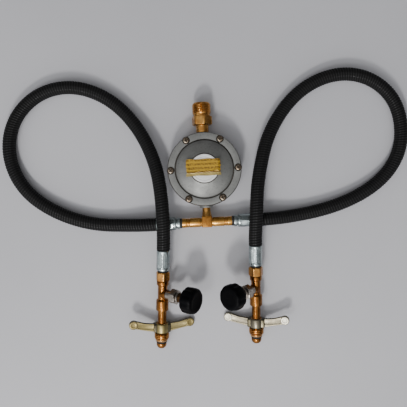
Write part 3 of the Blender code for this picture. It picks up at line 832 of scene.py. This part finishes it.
def label(looks):
    """Creased film over the cap, drooping onto the dome at its ends, with a turned-up edge."""
    left, right, low, high = -25.8, 22.6, -10.6, 13.0
    across, along = 84, 44
    points, faces, corners = [], [], []
    for row in range(along + 1):
        for column in range(across + 1):
            u, v = column / across, row / along
            ragged = 0.35 * math.sin(9.1 * v + 2) + 0.25 * math.sin(23 * v)
            x = left + (right - left) * u + ragged * (2 * u - 1)
            y = low + (high - low) * v + 0.3 * math.sin(11 * u + 1) * (2 * v - 1)
            beyond = max(0.0, abs(x) - CAP_RADIUS + 0.4)
            z = CAP_TOP + 0.35 - 0.62 * beyond
            z += 0.10 * math.sin(1.15 * x + 0.5 * y) * math.sin(0.9 * y + 0.21 * x)
            fold = abs(y + LABEL_FOLD - 0.05 * x - 0.8 * math.sin(0.5 * x))
            z += 0.75 * max(0.0, 1 - fold / 1.1)
            z += 0.9 * max(0.0, (-7.6 - y) / 3.0) * (0.5 + 0.5 * math.sin(0.33 * x + 2.2))
            points.append((x, y, z + 0.1))
    for row in range(along):
        for column in range(across):
            first = row * (across + 1) + column
            face = [first, first + 1, first + across + 2, first + across + 1]
            faces.append(face)
            corners.append([(points[i][0] / 10, points[i][1] / 10) for i in face])
    film = make("seal_film", [(np.array(points), faces, corners)], looks["label_film"], 60)
    modifier = film.modifiers.new("thickness", "SOLIDIFY")
    modifier.thickness = 0.22 * MM
    modifier.offset = 0
    settle(film, 60)
    stands(film, "set", "label_film", "tamper_label")


def adapter(looks):
    outer = softened([(5.5, 41.8), (8.3, 41.8), (8.3, 54.2), (9.1, 54.4), (9.1, 64.0), (10.2, 64.9)], 0.4)
    rows = outer + hexagon(26.5, (65, 78.3)) + [(11.9, 78.7), (11.9, 80)]
    rows += threaded(13.6, (80.4, 96.4), ADAPTER_THREAD)
    rows += [(12.3, 97.0), (11.9, 97.4), (9.3, 97.4), (9, 97.0), (9, 84), (5.5, 80)]
    shape = turned(rows, spun(PORTS, ADAPTER_TURN))
    fitting("adapter", "outlet_adapter", shape, looks["adapter_brass"], "brass")


def tee(looks):
    """Two barrels, each turned with its inner end left open, round a forged block and a stem."""
    barrel = [
        (6.2, 0), (6.2, 9), (6.95, 9.4), (6.95, 25.4), (5.9, 25.8), (5.9, 26.6), (7.0, 27), (7.0, 28.6),
        (6.0, 29), (6.0, 29.6), (6.9, 30), (6.9, 36.3), (5.2, 36.3), (5.2, 24), (3.5, 24), (3.5, 0),
    ]
    points, faces, corners = revolved(softened(barrel, 0.3), SMALL_ROUND)
    shape = points, faces[:-2], corners[:-2]
    across = TEE_RUN @ placed((0, 0, 0), (180, 0, 0))
    barrels = make("tee_barrels", [moved(shape, TEE_RUN), moved(shape, across)], looks["tee_brass"])
    block = slab(oblong(-7.6, 7.6, -7.6, 7.6), -7.5, 9.2)
    middle = bevelled(make("tee_middle", [moved(block, TEE_RUN)], looks["forged_brass"]), 1.5, 4)
    neck = [(7.6, 0), (7.4, 9), (6.6, 12), (5.9, 15.5), (5.9, 32.2), (3.5, 32.2), (3.5, 0)]
    neck = turned(softened(neck, 0.5), TEE_NECK, SMALL_ROUND)
    stem = make("tee_stem", [neck], looks["adapter_brass"])
    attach(middle, "set")
    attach(stem, "set")
    stands(barrels, "set", "tee_brass", "tee_body")


# Hose ends

def crimped(start):
    """Sleeve with eight pressed flats, each with a rounded end, and a plain rolled collar."""
    end = start + FERRULE_LENGTH
    flats = 8

    def pressed(angle, height):
        along = (height - start - 4.2) / (FERRULE_LENGTH - 8.0)
        if not 0 < along < 1:
            return FERRULE_RADIUS
        spread = math.sin(math.pi * along) ** 0.15
        across = abs((angle * flats / math.tau) % 1.0 - 0.5) * 2
        dip = max(0.0, 1 - (across / (0.88 * spread + 1e-6)) ** 3)
        return FERRULE_RADIUS - 0.5 * dip ** 0.7

    rows = [(5.4, start), (FERRULE_RADIUS - 1.3, start), (FERRULE_RADIUS - 0.3, start + 0.35)]
    rows += [(FERRULE_RADIUS, start + 1.0), (FERRULE_RADIUS, start + 2.6)]
    rows += [(FERRULE_RADIUS - 0.35, start + 3.0), (FERRULE_RADIUS - 0.35, start + 3.4)]
    rows += [(pressed, start + 3.8 + (FERRULE_LENGTH - 7.6) * step / 44) for step in range(45)]
    rows += [(FERRULE_RADIUS, end - 1.6), (FERRULE_RADIUS + 0.12, end - 1.0)]
    rows += [(FERRULE_RADIUS - 0.1, end - 0.25), (8.7, end), (8.2, end - 0.2), (8.2, start + 2)]
    return rows + [(5.4, start + 2)]


def tail(start):
    ridges = []
    for step in range(7):
        ridges += [(4.1, start + 4 + 3 * step), (4.6, start + 6.4 + 3 * step)]
    return ridges + [(4, start + 26), (3, start + 26)]


def hose_end(name, axis, start, seal, insert, looks):
    """Seal, barbed stem and crimped sleeve of the hose's end that name says."""
    steel = looks["zinc_plated_steel"]
    seal = turned(softened(seal, 0.6, True), axis, SMALL_ROUND)
    fitting(f"{name}_ring", f"{name}_seal", seal, looks["rubber"], "rubber")
    insert = turned(insert, axis, SMALL_ROUND)
    fitting(f"{name}_stem", f"{name}_insert", insert, steel, "zinc_plated_steel")
    sleeve = turned(crimped(start), axis)
    fitting(f"{name}_sleeve", f"{name}_ferrule", sleeve, steel, "zinc_plated_steel", sharp=40)


def tee_hose_end(name, side, looks):
    start = TEE_FERRULE_START
    seal = oblong(5.3, 7.2, 36.6, 39.3)
    insert = [(3, 26), (4.8, 26), (4.8, 39.6), (8.6, 39.6), (8.6, 43.4), (6.8, 43.8)]
    insert += [(6.8, start - GAP), (5, start - GAP)] + tail(start)
    hose_end(f"{name}_tee", tee_axis(side), start, seal, softened(insert, 0.35, True), looks)


def valve_hose_end(name, side, looks):
    axis = connector_axis(side)
    rows = [(7.8, 103)] + hexagon(18.4, (103, 115.4)) + [(8.6, 115.7), (8.3, 116), (5.4, 116)]
    rows += [(5.4, 113.2), (7.8, 113.2)]
    nut = turned(rows, spun(axis, side["nut_turn"]))
    fitting(f"{name}_hex_nut", f"{name}_hose_nut", nut, looks["nut_brass"], "brass")
    start = VALVE_FERRULE_START
    seal = oblong(5.4, 7.6, 116.3, start - GAP)
    insert = [(3, 109.4), (7.3, 109.4), (7.3, 112.9), (5, 112.9)] + tail(start)
    hose_end(f"{name}_valve", axis, start, seal, softened(insert, 0.3, True), looks)


# Cylinder connector

def valve_body(name, side, looks):
    axis, branch = connector_axis(side), branch_axis(side)
    profile = [
        (0, 58), (8.5, 58), (9.1, 58.8), (9.1, 73.0), (8.4, 74), (6.9, 75.0), (6.9, 94.6),
        (7.6, 95), (7.6, 96), (7.2, 96.4), (8.8, 96.8), (8.8, 102.3), (7.4, 102.7), (7.4, 108.2),
        (6.4, 109.1), (0, 109.1),
    ]
    shape = moved(revolved(softened(profile, 0.5), ROUND), axis)
    body = make(f"{name}_body", [shape], looks["brass"])
    boss = softened([(0, 0), (7.6, 0), (7.3, 8.5), (0, 8.5)], 0.8)
    cuts = [(6.6, (50, 70.3)), (2, (65, 84.5)), (3, (86.9, 120))]
    steps = [("UNION", moved(revolved(boss, 64), branch))]
    steps += [("DIFFERENCE", moved(rod(radius, ends), axis)) for radius, ends in cuts]
    steps += [("DIFFERENCE", moved(rod(1.6, (0.5, 5)), spun(branch, 5)))]
    steps += [("DIFFERENCE", moved(rod(5.4, (2.2, 20)), spun(branch, 3)))]
    carved(body, steps)
    stands(body, "set", "brass", f"{name}_valve_body")


def spigot(name, side, looks):
    axis = connector_axis(side)
    profile = [
        (2.2, 0), (3.6, 0), (5.2, 0.7), (6.5, 2.3), (7.2, 4.0), (7.5, 5.6), (7.5, 8.2), (5.8, 8.4),
        (5.8, 10.7), (7.4, 10.9), (7.4, 11.2), (6.3, 11.3), (6.3, 70), (2.2, 70),
    ]
    stem = turned(softened(profile, 0.4, True), axis)
    fitting(f"{name}_stem", f"{name}_spigot", stem, looks["brass"], "brass")
    ring = []
    for step in range(16):
        angle = math.tau * step / 16
        ring.append((7.0 + 0.85 * math.cos(angle), 9.55 + 0.9 * math.sin(angle)))
    fitting(f"{name}_o_ring", f"{name}_nose_o_ring", turned(ring, axis), looks["rubber"], "rubber")


def arm_outline():
    """Outline of both arms, tip to tip, with round swept ends."""
    half = [(8, HUB - 5.2), (16, HUB - 4.6), (26, HUB - 2.4)]
    for degrees in range(-115, 126, 12):
        angle = math.radians(degrees)
        half.append((TIP_REACH + TIP_RADIUS * math.cos(angle), TIP_PLACE + TIP_RADIUS * math.sin(angle)))
    half += [(26, HUB + 8.0), (16, HUB + 6.8), (8, HUB + 6.4)]
    return half + [(-x, z) for x, z in reversed(half)]


def panel(sign):
    """Long rounded recess between the hub and an arm's tip."""
    low, high = 14.5, 33.0
    middle = [(low, HUB + 1.2), (high, HUB + 4.1)]
    outline = []
    for (x, z), start in zip(middle, (90, -90)):
        for step in range(9):
            angle = math.radians(start + 180 * step / 8)
            outline.append((sign * (x + 3.3 * math.cos(angle)), z + 3.3 * math.sin(angle)))
    return outline


def shade_side_faces(obj, matrix, look):
    """Paints shade on the faces that look along the hose, rather than up, with a second, darker look."""
    obj.data.materials.append(look)
    along = np.array(matrix.to_3x3().col[2])
    for face in obj.data.polygons:
        if np.dot(face.normal, along) > 0.5:
            face.material_index = 1


def winged_nut(name, side, looks):
    """Thrust washer and threaded nut, which turn and slide along the stem."""
    axis, roll = connector_axis(side), wing_axis(side)
    washer = turned(softened(oblong(6.6, 8.8, 11.5, 12.9), 0.4, True), axis)
    fitting(
        f"{name}_washer_ring", f"{name}_thrust_washer", washer, looks["amber_plastic"],
        "white_plastic", f"{name}_washer",
    )
    rows = [(6.6, 13.2), (9.0, 13.2), (9.4, 13.5)] + threaded(10.8, (13.9, 23.9), NUT_THREAD)
    rows += [(10.0, 24.0), (8, 24.0), (8, 38.5), (7.6, 38.8), (6.6, 38.8)]
    nut, body = turned(rows, roll), f"{name}_wing_nut"
    fitting(f"{name}_nut", f"{name}_connector_nut", nut, looks["nut_brass"], "brass", body)
    wings(name, roll, looks)


def wing_tips(roll):
    """Shapes of the discs on both faces of both tips, and of the rings of painted shade round them."""
    dome = [(0, 1.8), (5.9, 1.8), (5.9, 2.45), (5.4, 2.75), (3.4, 2.75), (2.9, 2.5), (0, 2.5)]
    rim = oblong(6.0, 6.35, 2.0, 2.3)
    discs, shade_rims = [], []
    for sign in (-1, 1):
        for face in (-1, 1):
            seat = placed((sign * TIP_REACH, 0, TIP_PLACE), (90 * face, 0, 0))
            discs.append(moved(moved(revolved(softened(dome, 0.25), 48), seat), roll))
            shade_rims.append(moved(turned(rim, seat, 48), roll))
    return discs, shade_rims


def wings(name, roll, looks):
    """Handle with its arms, hub, shoulders and tip discs."""
    # The tip discs take a painted light copy of the nickel on the right and a painted shade copy of the
    # olive nickel on the left.
    finish, tip = ("olive_nickel", "shaded_olive_tip") if name == "left" else ("nickel", "lit_nickel_tip")
    arms = moved(slab(arm_outline(), -2.2, 2.2), roll)
    handle = make(f"{name}_handle", [arms], looks[finish])
    steps = [("DIFFERENCE", moved(slab(panel(sign), low, high), roll))
             for sign in (-1, 1) for low, high in ((-5, -1.75), (1.75, 5))]
    bevelled(carved(handle, steps), 0.45, 3, 40)
    hub_rows = [
        (8.3, 24.5), (8.9, 24.3), (9.3, 24.7), (9.7, 26), (9.7, 36.8), (9.2, 38.1), (8.7, 38.5),
        (8.3, 38.3),
    ]
    discs, shade_rims = wing_tips(roll)
    hub = make(f"{name}_hub", [turned(hub_rows, roll)], looks[finish])
    tips = make(f"{name}_tips", discs, looks[tip])
    # Rings of painted shade round the tip discs.
    edges = make(f"{name}_tip_rims", shade_rims, looks["painted_edge_shade"])
    block = slab(oblong(-12.7, 12.7, 25, 37.9), -5.6, 5.6)
    # The shoulders take a darker copy of the nickel, painted shade.
    shoulders = make(f"{name}_shoulders", [moved(block, roll)], looks["shaded_shoulder_nickel"])
    bevelled(shoulders, 1.6, 4)
    for piece in (shoulders, handle):
        carved(piece, [("DIFFERENCE", moved(rod(9.0, (20, 45), 64), roll))])
    # Painted shade on the arms' side faces.
    shade_side_faces(handle, roll, looks["painted_edge_shade"])
    for piece in (hub, tips, edges, shoulders):
        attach(piece, f"{name}_wing_nut")
    stands(handle, f"{name}_wing_nut", "nickel", f"{name}_wing_handle")


def side_valve(name, side, looks):
    branch = branch_axis(side)
    rows = [(4, 5.4), (5.1, 5.4), (5.1, 8.8), (6.5, 8.8), (6.8, 9.1), (6.8, 16.6)]
    rows += hexagon(19.5, (17.3, 27)) + [(8.0, 27.3), (7.5, 27.6), (7.5, 29.7), (7.2, 30)]
    rows += [(4.6, 30), (4.6, 34), (2.5, 34), (2.5, 12), (4, 11)]
    bonnet = turned(rows, branch)
    fitting(f"{name}_bonnet", f"{name}_valve_bonnet", bonnet, looks["valve_nickel"], "nickel")
    rows = [(4.9, 30.3), (5.8, 30.3)] + hexagon(13, (30.35, 37.4)) + [(5.8, 37.8), (5.4, 38)]
    rows += [(2.5, 38), (2.5, 34.5), (4.9, 34.5)]
    gland = turned(rows, branch)
    fitting(f"{name}_gland", f"{name}_gland_nut", gland, looks["dark_brass"], "brass")


def knob(name, side, looks):
    """Knob whose soft lobes fade into its rounded face."""
    branch = branch_axis(side)

    def lobed(size):
        def reach(angle, _):
            share = (size - KNOB_FACE_RADIUS) / (KNOB_RADIUS - KNOB_FACE_RADIUS)
            wave = (1 - math.cos(KNOB_LOBES * angle)) / 2
            return size - KNOB_LOBE_DEPTH * wave ** 1.5 * share
        return reach

    side_rows = [(KNOB_FACE_RADIUS, 41.2), (16.6, 41.5), (17.8, 42.4), (18.5, 43.8), (18.8, 45.6)]
    side_rows += [(18.9, 48.5), (18.9, 51.5), (18.8, 54.2), (18.5, 56.2), (17.8, 57.9)]
    side_rows += [(16.8, 59.1), (15.4, 59.8)]
    rows = [(0, 56.3), (2.4, 56.3), (2.4, 38.6), (6.3, 38.6), (6.6, 38.9), (6.9, 40.7), (7.7, 41.2)]
    rows += [(lobed(size), height) for size, height in side_rows]
    rows += [(13.4, 60), (11.5, 59.95), (9.5, 59.6), (8.4, 59.45), (0, 59.4)]
    made = make(f"{name}_grip", [moved(revolved(rows, 120), branch)], looks["knob_plastic"], 50)
    stands(made, f"{name}_knob_body", "knob_plastic", f"{name}_knob")


# Hoses

def spline_slopes(points, lengths, first, last):
    """Slopes at the points of a cubic spline that starts along first and ends along last."""
    count = len(points)
    left = np.zeros((count, count))
    right = np.zeros((count, 3))
    left[0, 0] = left[-1, -1] = 1
    right[0], right[-1] = first, last
    for index in range(1, count - 1):
        before, after = lengths[index - 1], lengths[index]
        left[index, index - 1 : index + 2] = after, 2 * (before + after), before
        right[index] = 3 * after * (points[index] - points[index - 1]) / before
        right[index] += 3 * before * (points[index + 1] - points[index]) / after
    return np.linalg.solve(left, right)


def smooth_curve(points, first, last, spacing):
    """Points a given spacing apart on the cubic spline through the route's own points."""
    points = np.array(points, float)
    lengths = np.linalg.norm(np.diff(points, axis=0), axis=1)
    slopes = spline_slopes(points, lengths, first, last)
    fine = []
    for index, length in enumerate(lengths):
        for t in np.linspace(0, 1, 40, endpoint=False):
            ease = 3 * t**2 - 2 * t**3
            spot = points[index] * (1 - ease) + points[index + 1] * ease
            spot = spot + length * t * (1 - t) ** 2 * slopes[index]
            fine.append(spot - length * t**2 * (1 - t) * slopes[index + 1])
    fine = np.array([*fine, points[-1]])
    run = np.concatenate([[0], np.cumsum(np.linalg.norm(np.diff(fine, axis=0), axis=1))])
    even = np.linspace(0, run[-1], max(3, round(run[-1] / spacing)))
    return np.stack([np.interp(even, run, fine[:, axis]) for axis in range(3)], axis=1)


def hose_path(side, spacing):
    """Middle of the hose from ferrule to ferrule."""
    axis = connector_axis(side)
    out = np.array([side["sign"], 0, 0])
    start = np.array([0, TEE_Y, PORT_HEIGHT]) + out * (TEE_FERRULE_START + FERRULE_LENGTH + GAP)
    along = np.array(axis.to_3x3().col[2])
    nose = np.array(axis.translation)
    end = nose + along * (VALVE_FERRULE_START + FERRULE_LENGTH + GAP)
    leads = [start + out * HOSE_LEAD, *side["route"], end + along * HOSE_LEAD]
    points = smooth_curve(leads, out, -along, spacing)
    points[:, 2] = np.maximum(points[:, 2], HOSE_RADIUS + 0.1)
    steps = np.arange(0, HOSE_LEAD, spacing)
    lead_in = [start + out * step for step in steps]
    lead_out = [end + along * step for step in steps[::-1]]
    return np.array([*lead_in, *points, *lead_out])


def braid_height(around, along):
    """Relief, from 0 to 1, of rows of flat strands laid almost square across the hose."""
    row = 0.5 + 0.5 * np.cos(math.tau * (along / BRAID_PITCH + around * BRAID_SLANT))
    rank = 0.5 + 0.5 * np.cos(math.tau * around * BRAID_STRANDS)
    yarns = 0.96 + 0.04 * np.cos(math.tau * 4 * around * BRAID_STRANDS)
    return row ** 0.8 * (0.62 + 0.38 * rank) * yarns


def hose(name, side, looks):
    """Tube round the path with the braid's strands raised on it."""
    path = hose_path(side, BRAID_ROWS)
    step = np.gradient(path, axis=0)
    step /= np.linalg.norm(step, axis=1)[:, None]
    across = np.cross(step, (0, 0, 1))
    across /= np.linalg.norm(across, axis=1)[:, None]
    up = np.cross(across, step)
    run = np.concatenate([[0], np.cumsum(np.linalg.norm(np.diff(path, axis=0), axis=1))])
    rings = []
    turns = np.arange(BRAID_SEGMENTS) / BRAID_SEGMENTS
    for spot, side_way, up_way, along in zip(path, across, up, run):
        reach = HOSE_RADIUS + BRAID_PROUD - BRAID_DEPTH * (1 - braid_height(turns, along))
        cos, sin = np.cos(math.tau * turns) * reach, np.sin(math.tau * turns) * reach
        ring = spot + cos[:, None] * side_way + sin[:, None] * up_way
        ring[:, 2] = np.maximum(ring[:, 2], BRAID_LOW)
        rings.append(ring)

    def lay(row, index):
        u, v = index / BRAID_SEGMENTS, (index + 1) / BRAID_SEGMENTS
        start, end = run[row] / 10, run[row + 1] / 10
        return [(u, start), (v, start), (v, end), (u, end)]

    shape = tube(rings, lay)
    cover = fitting(f"{name}_braid", f"{name}_hose", shape, looks["hose_cover"], "hose_cover", sharp=80)


# Surroundings

def camera():
    data = bpy.data.cameras.new("camera")
    data.angle = math.radians(CAMERA_ANGLE)
    data.clip_end = 20
    made = bpy.data.objects.new("camera", data)
    made.location = CAMERA_PLACE
    made.rotation_euler = (0, 0, math.radians(CAMERA_TURN))
    bpy.context.collection.objects.link(made)
    bpy.context.scene.camera = made


def area_light(name, place, aim, size, watts, colour=(1, 1, 1)):
    data = bpy.data.lights.new(name, "AREA")
    data.size = size
    data.energy = watts
    data.color = colour
    made = bpy.data.objects.new(name, data)
    made.location = place
    direction = Vector(aim) - Vector(place)
    made.rotation_euler = direction.to_track_quat("-Z", "Y").to_euler()
    bpy.context.collection.objects.link(made)


def surroundings():
    """Backdrop paper, two lamps and a sky that is brighter on one side."""
    half, thick = 3000, 60
    sheet = slab(oblong(-half, half, -thick, 0), -half, half)
    make("floor", [sheet], paper("backdrop_paper"))
    area_light("key", (-0.24, -1.05, 1.02), (0, -0.05, 0), 0.18, 12, (1, 0.985, 0.96))
    area_light("second", (-0.62, -0.85, 1.4), (0, -0.05, 0), 0.25, 5)
    world = bpy.data.worlds.new("studio")
    bpy.context.scene.world = world
    world.use_nodes = True
    tree = world.node_tree
    back = tree.nodes["Background"]
    back.inputs["Strength"].default_value = SKY_STRENGTH
    where = tree.nodes.new("ShaderNodeTexCoord")
    towards = tree.nodes.new("ShaderNodeVectorMath")
    towards.operation = "DOT_PRODUCT"
    towards.inputs[1].default_value = BRIGHT_SIDE
    ramp = tree.nodes.new("ShaderNodeMapRange")
    for key, value in zip(("From Min", "From Max", "To Min", "To Max"), (0.35, 1, SKY_LEAST, 1)):
        ramp.inputs[key].default_value = value
    tree.links.new(where.outputs["Generated"], towards.inputs[0])
    tree.links.new(towards.outputs["Value"], ramp.inputs["Value"])
    tree.links.new(ramp.outputs["Result"], back.inputs["Color"])


def dress_frame(nodes, slots, looks):
    """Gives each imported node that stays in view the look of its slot."""
    for name, obj in nodes.items():
        if not obj.hide_render:
            obj.data.materials.clear()
            obj.data.materials.append(looks[slots[name]])


def main():
    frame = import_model()
    camera()
    looks = make_looks()
    for name, side in SIDES.items():
        hose(name, side, looks)
        tee_hose_end(name, side, looks)
        valve_hose_end(name, side, looks)
        valve_body(name, side, looks)
        spigot(name, side, looks)
        winged_nut(name, side, looks)
        side_valve(name, side, looks)
        knob(name, side, looks)
    housing(looks)
    cover(looks)
    cover_screws(looks)
    recesses(looks)
    spring(looks)
    cap(looks)
    label(looks)
    adapter(looks)
    tee(looks)
    slots = {item["node"]: item["material_slot"] for item in frame["record"]["subparts"]}
    dress_frame(frame["nodes"], slots, looks)
    surroundings()


main()
